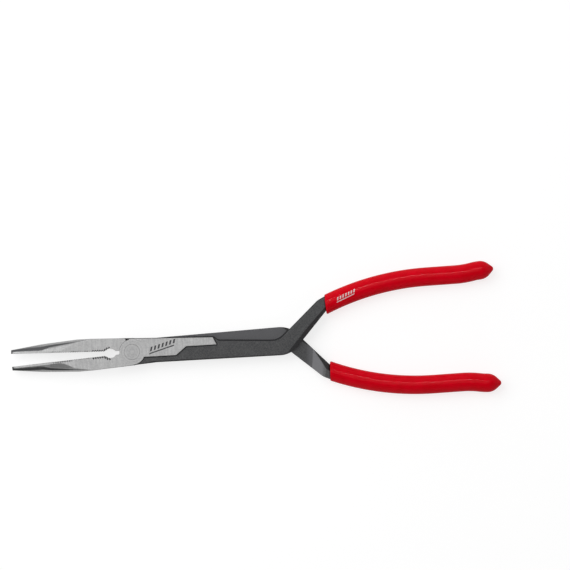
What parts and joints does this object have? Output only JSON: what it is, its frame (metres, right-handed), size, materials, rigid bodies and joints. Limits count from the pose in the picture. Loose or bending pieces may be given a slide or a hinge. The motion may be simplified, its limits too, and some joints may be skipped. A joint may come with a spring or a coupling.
{
  "type": "needle nose pliers",
  "caption": "Long-reach needle nose pliers with slim tapered jaws, a pipe-grip hollow, long offset dark shanks and red dipped handles, lying flat and slightly open.",
  "frame": {"origin": "on the pivot's axis, in the resting plane: the centre of the rivet's flush end on the back ground face", "axes": "+Z along the pivot's axis, away from the resting plane; +X along the tool towards the handles, with the jaws towards -X; +Y towards the upper grip, across the handles"},
  "size_m": [0.328, 0.0886, 0.012],
  "materials": {
    "forged_steel": "bright ground jaws, joint and pad; black-oxide forged shanks and arms",
    "rivet_steel": "ground flush with the joint's faces",
    "dipped_vinyl": "glossy red dipped vinyl"
  },
  "bodies": {
    "front_half": {"front_lever": "forged_steel", "pivot_rivet": "rivet_steel", "upper_grip": "dipped_vinyl"},
    "rear_half": {"rear_lever": "forged_steel", "lower_grip": "dipped_vinyl"}
  },
  "joints": [
    {"name": "jaw_pivot", "type": "hinge", "parent": "front_half", "child": "rear_half", "pos_m": [0, 0, 0.006], "axis": [0, 0, -1], "range_deg": [-5.9, 14]}
  ]
}
